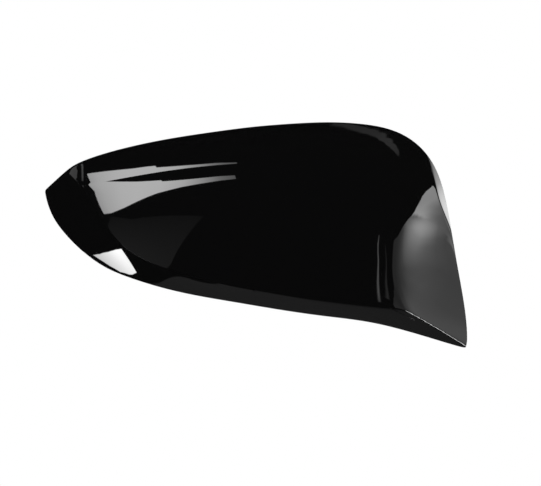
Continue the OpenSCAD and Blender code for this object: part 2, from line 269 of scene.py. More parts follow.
# Material slots of the shell: outside and rim, inside, and the strip over the inboard crease
GLOSS_SLOT, MATTE_SLOT, SEAM_SLOT = 0, 1, 2

fan = np.linspace(0, 180, FAN_STEPS + 1)
total = np.cumsum(1 + DENSE_GAIN * np.exp(-((fan - DENSE_AT) / DENSE_WIDTH)**2))
total = (total - total[0]) / (total[-1] - total[0])
half_fan = np.interp(np.arange(RAYS // 2 + 1) / (RAYS // 2), total, np.radians(fan))
angle = np.concatenate([half_fan, 2 * np.pi - half_fan[-2:0:-1]])
foot = np.stack([SPINE_MID[0] + SPINE_HALF * np.cos(angle),
                 SPINE_MID[1] + SPINE_TILT * SPINE_HALF * np.cos(angle)], -1)
way = np.stack([RAY_SPREAD[0] * np.cos(angle), RAY_SPREAD[1] * np.sin(angle)], -1)
way /= np.linalg.norm(way, axis=1, keepdims=True)


def halve(test, hi):
    """Distance along each ray, up to hi, at which test stops being true."""
    lo = np.zeros(RAYS)
    for _ in range(HALVINGS):
        s = (lo + hi) / 2
        p = foot + s[:, None] * way
        inside = test(p[:, 0], p[:, 1])
        lo, hi = np.where(inside, s, lo), np.where(inside, hi, s)
    return lo


def lower_face(x, z):
    return np.maximum(skirt_face(x, z), cut_face(x, z))


def on_dome(x, z):
    return np.maximum(lower_face(x, z), upper_face(x, z)) < dome_face(x, z)


def above_crease(x, z):
    return lower_face(x, z) < panel(x, z)


def inside_lip(x, z):
    return turn_gap(x, z) > lip_at(turn_angle(x, z))


# Shares of each ray at which it leaves the dome, crosses the crease, the ledge line and the lip line.
# Where it crosses no crease, no ledge line or no lip line, the rings there stand at a place of their own.
reach = halve(lambda x, z: within(x, z) > 0, np.full(RAYS, RAY_REACH))
edge = foot + reach[:, None] * way
dome_end = np.minimum(halve(on_dome, reach) / reach, DOME_MOST)
near_edge = edge - NEAR_EDGE * way
has_crease = ~above_crease(near_edge[:, 0], near_edge[:, 1])
crease_at = np.where(has_crease, np.minimum(halve(above_crease, reach) / reach, CREASE_MOST),
                     (1 + 2 * dome_end) / 3)
crease_half = np.where(edge[:, 0] < 0, *CREASE_HALF) / reach
dome_rings_end = np.minimum(dome_end, crease_at - crease_half - CREASE_CLEAR / reach)
ledge_half = LEDGE_HALF / reach
over_ledge = np.minimum(halve(lambda x, z: ledge_gap(x, z) > 0, reach) / reach, LEDGE_MOST * dome_rings_end)
lip_half = LIP_HALF / reach
over_lip = np.minimum(halve(inside_lip, reach) / reach, 1 - LIP_CLEAR / reach)


def between(a, b, steps):
    return [a + (b - a) * i / steps for i in range(steps)]


def ring_shares(n):
    """Shares along each ray, closer together towards the ledge line and each break."""
    low, high = over_ledge - ledge_half, over_ledge + ledge_half
    rows = [low * (1 - (1 - i / n[0])**LEDGE_CROWDING) for i in range(n[0])]
    rows += [low, high]
    rows += [high + (dome_rings_end - high) * (1 - (1 - i / n[1])**DOME_CROWDING) for i in range(1, n[1])]
    near, past = crease_at - crease_half, crease_at + crease_half
    rows += between(dome_rings_end, near, n[2])
    rows += between(near, past, CREASE_STEPS)
    lip = over_lip - lip_half
    rows += between(past, lip, n[3])
    rows += [lip + 2 * lip_half * i / LIP_STEPS for i in range(LIP_STEPS)]
    rows += [over_lip + lip_half + (1 - over_lip - lip_half) * i / EDGE_STEPS for i in range(EDGE_STEPS + 1)]
    return rows


def rim_lines():
    """Both skins' lines where the rim's rounding starts, and the ways out of the edge and into the wall."""
    inward = -skin_normal(edge[:, 0], edge[:, 1])
    corner = np.stack([edge[:, 0], skin(edge[:, 0], edge[:, 1]), edge[:, 1]], -1)
    tangent = np.roll(corner, -1, 0) - np.roll(corner, 1, 0)
    tangent /= np.linalg.norm(tangent, axis=1, keepdims=True)
    out = np.cross(inward, tangent)
    out /= np.linalg.norm(out, axis=1, keepdims=True)
    # Turn the way round where it leads back over the skin
    x, z, h = edge[:, 0], edge[:, 1], SLOPE_STEP
    leaving = (out[:, 0] * (within(x + h, z) - within(x - h, z))
               + out[:, 2] * (within(x, z + h) - within(x, z - h)))
    out *= -np.sign(leaving)[:, None]
    start = corner - RIM_RADIUS * out
    end = corner + WALL * inward - RIM_RADIUS * out
    # Uncross the inner line's points, which pass each other at the sharp tip
    for _ in range(UNCROSS_STEPS):
        crossed = np.sum((np.roll(end, -1, 0) - end)[:, [0, 2]] * (np.roll(edge, -1, 0) - edge), 1) < 0
        near_it = (crossed | np.roll(crossed, 1))[:, None]
        end = np.where(near_it, (np.roll(end, -1, 0) + np.roll(end, 1, 0)) / 2, end)
    return start, end, out, inward


def shell_mesh():
    """Outer skin, rounded rim and inner skin of the shell as one closed mesh, with the form's own normals."""
    points, normals, faces, slots = [], [], [], []
    half = RAYS // 2

    def add_points(places, ways):
        points.append(places)
        normals.append(ways)

    def add_skin(n, t, rim, inner):
        base = sum(len(p) for p in points)
        side = -1 if inner else 1
        spine = foot[:half + 1]
        x, z = spine[:, 0], spine[:, 1]
        add_points(np.stack([x, skin(x, z, t), z], -1), skin_normal(x, z, t) * side)
        shares = ring_shares(n)
        last = len(shares) - 1
        # Rays are cut short for the rim's rounding only past the crease, so that its rings stay on it
        past = np.where(has_crease & (not inner), crease_at + crease_half, 0)
        for i in range(1, last + 1):
            short = np.clip((shares[i] - past) / (1 - past), 0, 1)
            p = foot + shares[i][:, None] * (edge - foot) + short[:, None] * (rim[:, [0, 2]] - edge)
            x, z = p[:, 0], p[:, 1]
            y = rim[:, 1] if i == last else skin(x, z, t)
            add_points(np.stack([x, y, z], -1), skin_normal(x, z, t) * side)

        def at(i, j):
            j %= RAYS
            return base + (min(j, RAYS - j) if i == 0 else half + 1 + (i - 1) * RAYS + j)

        crease = n[0] + n[1] + n[2] + 1
        for i in range(last):
            for j in range(RAYS):
                a, b, c, d = at(i, j), at(i, j + 1), at(i + 1, j + 1), at(i + 1, j)
                parts = [(a, b, c, d)]
                # Triangles at the ends of the middle line, where two quads would share three points
                if i == 0 and j % half == 0:
                    parts = [(a, b, c), (a, c, d)]
                elif i == 0 and j % half == half - 1:
                    parts = [(a, b, d), (b, c, d)]
                seam = crease <= i < crease + CREASE_STEPS and has_crease[j] and edge[j, 0] < 0
                for f in parts:
                    faces.append(f if inner else f[::-1])
                    slots.append(MATTE_SLOT if inner else SEAM_SLOT if seam else GLOSS_SLOT)
        return [at(last, j) for j in range(RAYS)]

    def add_ring(places, ways):
        base = sum(len(p) for p in points)
        add_points(places, ways)
        return [base + j for j in range(RAYS)]

    start, end, out, inward = rim_lines()
    rings = [add_skin(OUTER_RINGS, 0.0, start, False)]
    for k in range(1, RIM_STEPS + 1):
        a = math.pi / 2 * k / RIM_STEPS
        rings.append(add_ring(start + RIM_RADIUS * (math.sin(a) * out + (1 - math.cos(a)) * inward),
                              math.sin(a) * out - math.cos(a) * inward))
    for k in range(RIM_STEPS):
        a = math.pi / 2 * k / RIM_STEPS
        rings.append(add_ring(end + RIM_RADIUS * (math.cos(a) * out - (1 - math.sin(a)) * inward),
                              math.cos(a) * out + math.sin(a) * inward))
    rings.append(add_skin(INNER_RINGS, WALL, end, True))
    for a, b in zip(rings[:-1], rings[1:]):
        for j in range(RAYS):
            k = (j + 1) % RAYS
            faces.append((b[j], b[k], a[k], a[j]))
            slots.append(GLOSS_SLOT)
    return np.concatenate(points), np.concatenate(normals), faces, slots


# Fixings on the hidden side. A place is a point of the front view, and a ray is a point and an angle, which
# leads from there to the edge.
PEG_SPACING, PEG_RADIUS, PEG_LENGTH, PEG_BEVEL = 85.0, 3.0, 12.0, 0.8
PEGS = {"peg_main": MAIN_PEG, "peg_second": MAIN_PEG - np.array([PEG_SPACING, 0])}
BOSS_RADIUS, GUSSET_REACH, GUSSET_WALL, GUSSET_STEPS = 5.0, 14.0, 1.8, 4
CATCH_WIDTH, CATCH_SETBACK, BARB_DEPTH, BARB_RAMP, BARB_LAND = 10.0, 5.0, 2.6, 6.0, 1.0
HOOK_BLADE, HOOK_INSET, HOOK_REACH, HOOK_BRACE, GUSSET_INSET = 2.2, 6.0, 8.0, 0.45, 0.3
HOOKS = [(-92, 6, 218), (-55, 0, 270), (-5, 0, 270), (45, 0, 270)]
CATCHES = [(-80, 10, 90), (-30, 10, 90), (22, 10, 90), (60, 12, 0), (60, -25, 0)]
# Share of the wall at which ribs start, and the largest inset of a catch from the edge
MID_WALL, INSET_MOST = 0.5, 30.0
# Turned profiles: radius past the boss's or the peg's, and height past the skin, the seat or the tip
BOSS_FOOT = [(1.3, -0.3), (1.0, 0.05), (0.45, 0.35), (0.1, 0.9), (0.0, 1.6)]
BOSS_SHOULDER = [(0.0, -0.45), (-0.15, -0.13), (-0.45, 0.0)]
PEG_ROOT = [(0.45, 0.0), (0.12, 0.12), (0.0, 0.45)]
PEG_TIP = [(0.0, -PEG_BEVEL - 0.1), (-0.12, -PEG_BEVEL + 0.12), (-PEG_BEVEL + 0.1, -0.1),
           (-PEG_BEVEL - 0.1, 0.0)]
TURNED_SIDES = 64
# Rounding of the small solids' edges, and the least angles at which an edge is rounded, in radians, or
# is shaded sharp
EDGE_BEVEL, BEVEL_FROM, SHARP_FROM = 0.3, 0.5, 30


def depth_at(p, share):
    """Depth in the wall at a place: share 0 is the outer skin and 1 the inner."""
    return float(skin(np.float64(p[0]), np.float64(p[1]), share * WALL))


def edge_of(ray):
    q, a = np.array(ray[:2], float), math.radians(ray[2])
    v = np.array([math.cos(a), math.sin(a)])
    lo, hi = 0.0, RAY_REACH
    for _ in range(HALVINGS):
        s = (lo + hi) / 2
        lo, hi = (s, hi) if within(*(q + s * v)) > 0 else (lo, s)
    return q + lo * v


def inwards(p, h=0.5):
    """Way from a point of the edge square into the outline."""
    g = np.array([within(p[0] + h, p[1]) - within(p[0] - h, p[1]),
                  within(p[0], p[1] + h) - within(p[0], p[1] - h)])
    return g / np.linalg.norm(g)


def inset_at(e, way_in, y, share):
    """Inset at which a share of the wall stands at depth y."""
    lo, hi = 0.0, INSET_MOST
    for _ in range(HALVINGS):
        d = (lo + hi) / 2
        lo, hi = (d, hi) if depth_at(e + d * way_in, share) > y else (lo, d)
    return lo


class Solids:
    """Points and faces of many small solids."""

    def __init__(self):
        self.points, self.faces = [], []

    def add(self, points, faces):
        base = len(self.points)
        self.points += [tuple(p) for p in points]
        self.faces += [tuple(base + i for i in f) for f in faces]

    def across(self, e, way_in, w, outline):
        """Prism of an outline of inset and depth across the edge point e."""
        n = len(outline)
        side = np.array([-way_in[1], way_in[0]])
        pts = []
        for k in (-0.5, 0.5):
            for inset, depth in outline:
                q = e + inset * way_in + k * w * side
                pts.append((q[0], depth, q[1]))
        faces = [tuple(range(n))[::-1], tuple(range(n, 2 * n))]
        faces += [(i, (i + 1) % n, n + (i + 1) % n, n + i) for i in range(n)]
        self.add(pts, faces)

    def turned(self, c, rings):
        """Solid turned about an axis along the pegs: rings of (radius, depth as a function of a place)."""
        pts, faces = [], []
        sides = TURNED_SIDES
        for radius, depth in rings:
            for j in range(sides):
                a = 2 * math.pi * j / sides
                q = c + radius * np.array([math.cos(a), math.sin(a)])
                pts.append((q[0], depth(q), q[1]))
        for i in range(len(rings) - 1):
            for j in range(sides):
                k = (j + 1) % sides
                faces.append((i * sides + j, i * sides + k, (i + 1) * sides + k, (i + 1) * sides + j))
        faces.append(tuple(range(sides))[::-1])
        faces.append(tuple(range((len(rings) - 1) * sides, len(rings) * sides)))
        self.add(pts, faces)


def wall_catch(solids, ray):
    """Wedge inside a tall wall, which a clip of the housing snaps behind."""
    e = edge_of(ray)
    w = inwards(e)
    rear = depth_at(e, 0) - CATCH_SETBACK
    flat = rear - BARB_RAMP
    front = flat - BARB_LAND
    tip = inset_at(e, w, flat, 1) + BARB_DEPTH
    solids.across(e, w, CATCH_WIDTH, [
        (inset_at(e, w, rear, MID_WALL), rear), (inset_at(e, w, rear, 1), rear), (tip, flat), (tip, front),
        (inset_at(e, w, front, MID_WALL), front)])


def snap_hook(solids, ray):
    """Barbed blade behind the skirt, braced by two gussets."""
    e = edge_of(ray)
    w = inwards(e)
    rear = depth_at(e, 0) + HOOK_REACH
    near, far = HOOK_INSET, HOOK_INSET + HOOK_BLADE
    barb = near - BARB_DEPTH
    brow = rear - BARB_RAMP
    brace = far + (rear - depth_at(e + far * w, MID_WALL)) * HOOK_BRACE
    solids.across(e, w, CATCH_WIDTH, [
        (near, depth_at(e + near * w, MID_WALL)), (near, brow), (barb, brow + BARB_LAND / 2),
        (barb, brow + BARB_LAND), (near + HOOK_BLADE / 2, rear), (far, rear),
        (far, depth_at(e + far * w, MID_WALL))])
    side = np.array([-w[1], w[0]]) * ((CATCH_WIDTH - GUSSET_WALL) / 2 - GUSSET_INSET)
    mid = (near + far) / 2
    for k in (-1, 1):
        g = e + k * side
        foot_depth = depth_at(g + brace * w, MID_WALL)
        half_way = (far + brace) / 2
        solids.across(g, w, GUSSET_WALL, [
            (mid, depth_at(g + mid * w, MID_WALL)), (mid, brow), (far, brow),
            (brace, foot_depth + BARB_LAND), (brace, foot_depth),
            (half_way, depth_at(g + half_way * w, MID_WALL))])


def boss_gussets(solids, c):
    """Four gussets round a boss, which cross at its axis."""
    brow = PEG_SEAT - BOSS_RADIUS
    for a in (45, 135, 225, 315):
        w = np.array([math.cos(math.radians(a)), math.sin(math.radians(a))])
        foot_row = [(r, depth_at(c + r * w, MID_WALL))
                    for r in (GUSSET_REACH * i / GUSSET_STEPS for i in range(GUSSET_STEPS, -1, -1))]
        solids.across(c, w, GUSSET_WALL, [
            (0, brow), (BOSS_RADIUS, brow), (GUSSET_REACH, foot_row[0][1] + BARB_LAND)] + foot_row)


def boss_and_peg(solids, c):
    """Boss with a rounded foot and shoulder, and the bevelled peg on it."""
    def past_skin(more):
        return lambda q: depth_at(q, 1) + more

    def at_depth(y):
        return lambda q: y

    rings = [(BOSS_RADIUS + dr, past_skin(dy)) for dr, dy in BOSS_FOOT]
    rings += [(BOSS_RADIUS + dr, at_depth(PEG_SEAT + dy)) for dr, dy in BOSS_SHOULDER]
    rings += [(PEG_RADIUS + dr, at_depth(PEG_SEAT + dy)) for dr, dy in PEG_ROOT]
    rings += [(PEG_RADIUS + dr, at_depth(PEG_SEAT + PEG_LENGTH + dy)) for dr, dy in PEG_TIP]
    solids.turned(c, rings)


def make_object(name, points, faces, mats, slots=None, normals=None):
    mesh = bpy.data.meshes.new(name)
    mesh.from_pydata([tuple(p) for p in metres(points)], [], faces)
    mesh.update()
    for m in mats:
        mesh.materials.append(m)
    if slots is not None:
        mesh.polygons.foreach_set("material_index", slots)
    mesh.polygons.foreach_set("use_smooth", [True] * len(mesh.polygons))
    if normals is not None:
        mesh.normals_split_custom_set_from_vertices([tuple(n) for n in normals])
    o = bpy.data.objects.new(name, mesh)
    bpy.context.collection.objects.link(o)
    return o


def finish_small(o, bevel):
    """Outward normals, rounded edges and sharp flats for a small moulded solid."""
    bm = bmesh.new()
    bm.from_mesh(o.data)
    bmesh.ops.recalc_face_normals(bm, faces=bm.faces)
    if bevel:
        sharp = [e for e in bm.edges if e.is_manifold and e.calc_face_angle() > BEVEL_FROM]
        bmesh.ops.bevel(bm, geom=sharp, offset=bevel / 1000, segments=2, profile=0.5, affect="EDGES",
                        clamp_overlap=True)
    bm.to_mesh(o.data)
    bm.free()
    o.data.polygons.foreach_set("use_smooth", [True] * len(o.data.polygons))
    o.data.set_sharp_from_angle(angle=math.radians(SHARP_FROM))


def belongs(o):
    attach(o, "root")
    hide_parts("mirror_cover")


# Materials: colours, reflection levels, roughness ranges, noise scales per metre and bump depths in metres
GLOSS_COLOUR = (0.0038, 0.0038, 0.0039, 1)
GLOSS_SHINE, SEAM_SHINE = 0.5, 0.03
GLOSS_ROUGH, GLOSS_ROUGH_SCALE = (0.012, 0.03), 60
PEEL_SCALE, PEEL_DETAIL, PEEL_STRENGTH, PEEL_DEPTH = 420, 1.5, 0.25, 0.0000015
MOULDED_DARK, MOULDED_PALE = (0.017, 0.017, 0.018, 1), (0.028, 0.028, 0.029, 1)
MOULDED_ROUGH, MOULDED_ROUGH_SCALE, TONE_SCALE = (0.42, 0.6), 900, 35
GRAIN_SCALE, GRAIN_DETAIL, GRAIN_STRENGTH, GRAIN_DEPTH = 2600, 3, 0.35, 0.00004
# Range of a noise that is spread over a range of roughness
NOISE_LOW, NOISE_HIGH = 0.3, 0.7


def new_material(name):
    m = bpy.data.materials.new(name)
    m.use_nodes = True
    nodes, links = m.node_tree.nodes, m.node_tree.links
    return m, nodes, links, nodes["Principled BSDF"]


def noise(nodes, links, scale, detail=2.0):
    coord = nodes.new("ShaderNodeTexCoord")
    n = nodes.new("ShaderNodeTexNoise")
    n.inputs["Scale"].default_value = scale
    n.inputs["Detail"].default_value = detail
    links.new(coord.outputs["Object"], n.inputs["Vector"])
    return n.outputs["Fac"]


def add_roughness(nodes, links, shader, value, low, high):
    r = nodes.new("ShaderNodeMapRange")
    r.inputs["From Min"].default_value = NOISE_LOW
    r.inputs["From Max"].default_value = NOISE_HIGH
    r.inputs["To Min"].default_value = low
    r.inputs["To Max"].default_value = high
    links.new(value, r.inputs["Value"])
    links.new(r.outputs["Result"], shader.inputs["Roughness"])


def add_bump(nodes, links, shader, height, strength, distance):
    b = nodes.new("ShaderNodeBump")
    b.inputs["Strength"].default_value = strength
    b.inputs["Distance"].default_value = distance
    links.new(height, b.inputs["Height"])
    links.new(b.outputs["Normal"], shader.inputs["Normal"])


def gloss_black(name, shine):
    """Black gloss paint with a faint orange peel."""
    m, nodes, links, shader = new_material(name)
    shader.inputs["Specular IOR Level"].default_value = shine
    shader.inputs["Base Color"].default_value = GLOSS_COLOUR
    shader.inputs["IOR"].default_value = 1.5
    add_roughness(nodes, links, shader, noise(nodes, links, GLOSS_ROUGH_SCALE), *GLOSS_ROUGH)
    peel = noise(nodes, links, PEEL_SCALE, PEEL_DETAIL)
    add_bump(nodes, links, shader, peel, PEEL_STRENGTH, PEEL_DEPTH)
    return m


def moulded_black():
    """Grained moulded plastic, mottled a little."""
    m, nodes, links, shader = new_material("moulded_black")
    tone = nodes.new("ShaderNodeMix")
    tone.data_type = "RGBA"
    tone.inputs[6].default_value = MOULDED_DARK
    tone.inputs[7].default_value = MOULDED_PALE
    links.new(noise(nodes, links, TONE_SCALE, 4), tone.inputs[0])
    links.new(tone.outputs[2], shader.inputs["Base Color"])
    add_roughness(nodes, links, shader, noise(nodes, links, MOULDED_ROUGH_SCALE, 3), *MOULDED_ROUGH)
    grain = noise(nodes, links, GRAIN_SCALE, GRAIN_DETAIL)
    add_bump(nodes, links, shader, grain, GRAIN_STRENGTH, GRAIN_DEPTH)
    return m


# The faces along the inboard crease have hardly any reflection, because they show a white line otherwise
GLOSS, MATTE = gloss_black("gloss_black", GLOSS_SHINE), moulded_black()
SEAM = gloss_black("seam_black", SEAM_SHINE)

points, normals, faces, slots = shell_mesh()
belongs(make_object("cover_shell", points, faces, [GLOSS, MATTE, SEAM], slots, normals))


def small_piece(name, make, places, bevel):
    """One piece of the scene, with a small solid or a group of them at each of its places."""
    solids = Solids()
    for place in places:
        make(solids, place)
    o = make_object(name, solids.points, solids.faces, [MATTE])
    finish_small(o, bevel)
    belongs(o)


small_piece("wall_catches", wall_catch, CATCHES, EDGE_BEVEL)
small_piece("snap_hooks", snap_hook, HOOKS, EDGE_BEVEL)
for name, place in PEGS.items():
    small_piece(name + "_gussets", boss_gussets, [place], EDGE_BEVEL)
    small_piece(name, boss_and_peg, [place], 0)

# Camera at the photograph's angle, far off. Pixels are the photograph's, and the form's zero shows at
# ZERO_PIXEL. The camera aims at the plane that lies AIM_DEPTH behind it.
CAMERA_TURN, CAMERA_RISE = 18, 3
DISTANCE = 4000.0
AIM_DEPTH = 35.0
PX_PER_MM = 1.776
PHOTO_WIDTH, PHOTO_MIDDLE, ZERO_PIXEL = 541, (270.5, 243), (255, 235)
SENSOR = 36
CLIP_END = 100

az, el = math.radians(CAMERA_TURN), math.radians(CAMERA_RISE)
toward = np.array([math.sin(az) * math.cos(el), -math.cos(az) * math.cos(el), math.sin(el)])
right = np.array([math.cos(az), math.sin(az), 0.0])
up = np.cross(toward, right)
target = (right * ((PHOTO_MIDDLE[0] - ZERO_PIXEL[0]) / PX_PER_MM)
          + up * ((ZERO_PIXEL[1] - PHOTO_MIDDLE[1]) / PX_PER_MM))
target = target + np.array([0, AIM_DEPTH, 0]) - right * (AIM_DEPTH * right[1]) - up * (AIM_DEPTH * up[1])
cam = bpy.data.objects.new("camera", bpy.data.cameras.new("camera"))
bpy.context.collection.objects.link(cam)
cam.location = Vector(metres(target + toward * DISTANCE))
cam.rotation_euler = (-Vector(toward)).to_track_quat("-Z", "Y").to_euler()
cam.data.sensor_width = SENSOR
cam.data.lens = SENSOR * DISTANCE / (PHOTO_WIDTH / PX_PER_MM)
cam.data.clip_end = CLIP_END
bpy.context.scene.camera = cam

# Studio cards, each a patch of directions round the object: rows of (azimuth, elevation, level), and a
# share of cover where one isn't solid. Azimuth 0 is in front of the cover and grows towards +X. A near
# card stands on a round wall of radius NEAR about the outboard side, with heights in place of elevations.
FAR = 30000.0
NEAR, NEAR_MID = 150.0, (92.0, 62.0)
# Level of the room in reflections, and of diffuse light
DARK_ROOM, DIFFUSE_ROOM = 0.003, 0.75


def card(name, rows, near=False, fine=4):
    """Card from rows of points, with the stretch between two of them cut into a number of parts."""
    rows = np.array(rows, float)
    if rows.shape[2] == 3:
        rows = np.dstack([rows, np.ones(rows.shape[:2])])
    for axis in (0, 1):
        n = rows.shape[axis]
        u = np.linspace(0, n - 1, (n - 1) * fine + 1)
        i = np.minimum(u.astype(int), n - 2)
        f = (u - i).reshape((-1, 1, 1) if axis == 0 else (1, -1, 1))
        rows = np.take(rows, i, axis) * (1 - f) + np.take(rows, i + 1, axis) * f
    a, e, level = np.radians(rows[..., 0]), np.radians(rows[..., 1]), rows[..., 2]
    if near:
        p = np.stack([NEAR_MID[0] + NEAR * np.sin(a), NEAR_MID[1] - NEAR * np.cos(a), rows[..., 1]], -1)
    else:
        p = FAR * np.stack([np.sin(a) * np.cos(e), -np.cos(a) * np.cos(e), np.sin(e)], -1)
    h, w = a.shape
    corners = [i * w + j for i in range(h - 1) for j in range(w - 1)]
    mesh = bpy.data.meshes.new(name)
    mesh.from_pydata([tuple(v) for v in metres(p.reshape(-1, 3))], [],
                     [(k, k + 1, k + w + 1, k + w) for k in corners])
    mesh.update()
    mesh.attributes.new("level", "FLOAT", "POINT").data.foreach_set("value", level.ravel())
    mesh.attributes.new("cover", "FLOAT", "POINT").data.foreach_set("value", rows[..., 3].ravel())
    mesh.materials.append(CARD)
    o = bpy.data.objects.new(name, mesh)
    bpy.context.collection.objects.link(o)
    o.visible_camera = o.visible_diffuse = o.visible_shadow = o.visible_transmission = False


def card_material():
    """Light by each point's level, clear where its cover is less than 1."""
    m = bpy.data.materials.new("card_light")
    m.use_nodes = True
    nodes, links = m.node_tree.nodes, m.node_tree.links
    nodes.clear()
    level, cover = nodes.new("ShaderNodeAttribute"), nodes.new("ShaderNodeAttribute")
    level.attribute_name, cover.attribute_name = "level", "cover"
    light, clear = nodes.new("ShaderNodeEmission"), nodes.new("ShaderNodeBsdfTransparent")
    mix, surface = nodes.new("ShaderNodeMixShader"), nodes.new("ShaderNodeOutputMaterial")
    links.new(level.outputs["Fac"], light.inputs["Strength"])
    links.new(cover.outputs["Fac"], mix.inputs[0])
    links.new(clear.outputs["BSDF"], mix.inputs[1])
    links.new(light.outputs["Emission"], mix.inputs[2])
    links.new(mix.outputs["Shader"], surface.inputs["Surface"])
    m.cycles.emission_sampling = "NONE"
    return m


CARD = card_material()


def soft_rows(columns, feather, knees=()):
    """Rows for a card from columns of (top azimuth, top elevation, foot azimuth, foot elevation, levels).

    It fades out over a feather past both ends. Knees are places for the middles of the first columns.
    """
    top, high, mid, low, foot_row = [], [], [], [], []
    for a, b, c, d, *levels in columns:
        length = math.hypot(a - c, b - d)
        ux, uy = (a - c) / length, (b - d) / length
        top.append((a + feather * ux, b + feather * uy, 0))
        high.append((a, b, levels[0]))
        mid.append(((a + c) / 2, (b + d) / 2, (levels[0] + levels[-1]) / 2))
        low.append((c, d, levels[-1]))
        foot_row.append((c - feather * ux, d - feather * uy, 0))
    for i, knee in enumerate(knees):
        mid[i] = (*knee, mid[i][2])
    return [top, high, mid, low, foot_row]


def line_rows(points, half):
    """Rows for a card that is a line of (azimuth, elevation, level) and fades out over half to each side."""
    return [[(a + k * half, e, level * (k == 0)) for a, e, level in points] for k in (-1, 0, 1)]


# Large front card, seen in the inboard end below the ledge and as a strip above it
card("card_wedge", soft_rows([
    (-68.9, 25.1, -59.2, 13.1, 6), (-66, 26, -57.8, 13.8, 7.5), (-61, 27.9, -55.6, 16.3, 9),
    (-57.5, 29.4, -53.4, 19.5, 9.5), (-54.5, 31.1, -51.3, 22.4, 9.5), (-52.3, 32.2, -50, 24, 9.5),
    (-51.5, 31.5, -49.4, 24.7, 9.5), (-46, 34, -44.3, 29.3, 8.5), (-42, 35.9, -40, 32.3, 6),
    (-37, 38.3, -35, 35.4, 2.8), (-32.6, 39.4, -30.9, 37, 1.7)], feather=0.3,
    knees=[(-64.2, 21.1), (-61.5, 20.5)]))
# Dim panel below it, brighter towards its foot
card("card_dim", soft_rows([
    (-57.5, 12.3, -57.5, 9, 0.07, 0.1), (-52.8, 12.1, -53.5, 0, 0.08, 0.2),
    (-48.1, 14, -48.5, -2.5, 0.07, 0.2), (-42.8, 15.3, -45, -5, 0.07, 0.19),
    (-37.4, 16.1, -43, -5, 0.07, 0.18), (-34, 16.4, -41, -2.5, 0.06, 0.17)], feather=0.4))
# Low card at the inboard side, seen in the flank
card("card_flank", soft_rows([
    (-115.8, -27.6, -113.2, -34.5, 8), (-110.5, -26.6, -110.8, -40.3, 9.5),
    (-105, -26, -105, -41.3, 10), (-99, -25.3, -101.3, -41.2, 10), (-86.5, -22.7, -92, -38.2, 10),
    (-81, -20.6, -85.6, -31, 9.5), (-79.5, -19.8, -82.5, -25, 8)], feather=0.4))
# Grey card above it, seen in the cut corner, and the edge of another beside it
card("card_corner", soft_rows([
    (-103, 36.5, -101, 33, 0.6), (-95, 33.5, -97, 24, 0.65), (-88, 31, -92, 18, 0.7),
    (-78.5, 27.3, -84, 19.5, 0.75), (-72.5, 23, -74, 21.5, 0.75)], feather=0.3))
card("card_corner_edge", [
    [(-107.3, 38.2, 0), (-94.6, 36.6, 0), (-84.4, 33.1, 0), (-79.2, 30.3, 0), (-75.5, 27.9, 0),
     (-72.5, 25.6, 0), (-70.2, 23.6, 0), (-68.8, 22.1, 0)],
    [(-101.3, 38.3, 1.2), (-90.7, 36.1, 1.2), (-82.1, 32.7, 1.2), (-77.7, 30.1, 1.2),
     (-74.4, 27.8, 1.2), (-71.6, 25.6, 1.2), (-69.6, 23.6, 1.2), (-68.2, 22.1, 0.8)],
    [(-96.3, 38, 0), (-87.4, 35.6, 0), (-80.2, 32.3, 0), (-76.3, 29.9, 0), (-73.4, 27.7, 0),
     (-70.9, 25.6, 0), (-69, 23.7, 0), (-67.8, 22.2, 0)]])
# Tall narrow strips, seen as lines in the bend to the outboard side
card("card_bend", line_rows([
    (14.6, 14.4, 0.9), (13, 10.4, 1.8), (12.4, 6.7, 1.8), (11.9, 3.1, 1.8), (11, -0.4, 1.8),
    (10.1, -3.7, 1.8), (9.3, -6.8, 1.8), (8.8, -9.6, 1.6), (8.5, -12.1, 1.2), (8.4, -13.6, 0.6)], half=0.6))
card("card_bend_dim", line_rows([
    (21.9, 10.9, 0.05), (22.3, 7.4, 0.25), (21.7, 4.2, 0.3), (20, 1.1, 0.32), (17.1, -2.2, 0.35),
    (14.8, -5.4, 0.4), (13.5, -8.3, 0.4), (12.1, -11.2, 0.4)], half=1.6))
